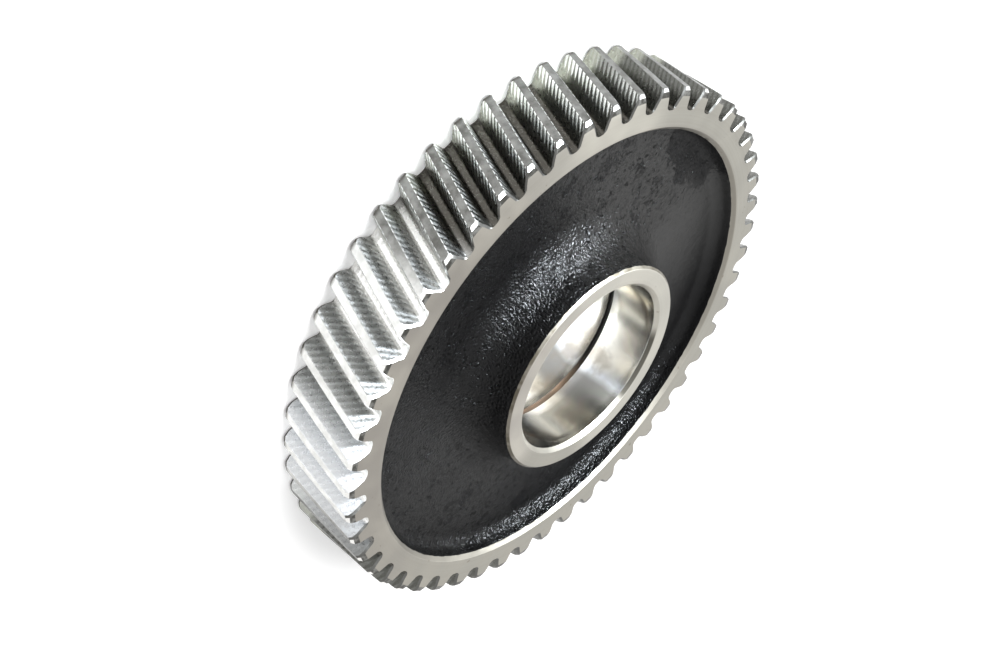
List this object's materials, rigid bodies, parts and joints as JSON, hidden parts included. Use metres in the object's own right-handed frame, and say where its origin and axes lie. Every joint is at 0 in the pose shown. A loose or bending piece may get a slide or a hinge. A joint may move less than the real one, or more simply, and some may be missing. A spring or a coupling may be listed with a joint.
{
  "type": "timing gear",
  "caption": "Helical timing gear with a toothed rim, a recessed forged web and a raised hub round a plain grooved bore.",
  "frame": {"origin": "centre of the back face, where the bore's axis meets the plane that the gear lies on", "axes": "+Z along the bore, from the back face to the raised front hub; +X through the middle of a tooth where it meets the rim's front face"},
  "size_m": [0.1694, 0.1694, 0.0355],
  "materials": {
    "steel": "machined alloy steel on teeth, rim faces, hub faces and bore; black forging skin on the web"
  },
  "bodies": {
    "root": {"timing_gear": "steel"}
  },
  "joints": []
}
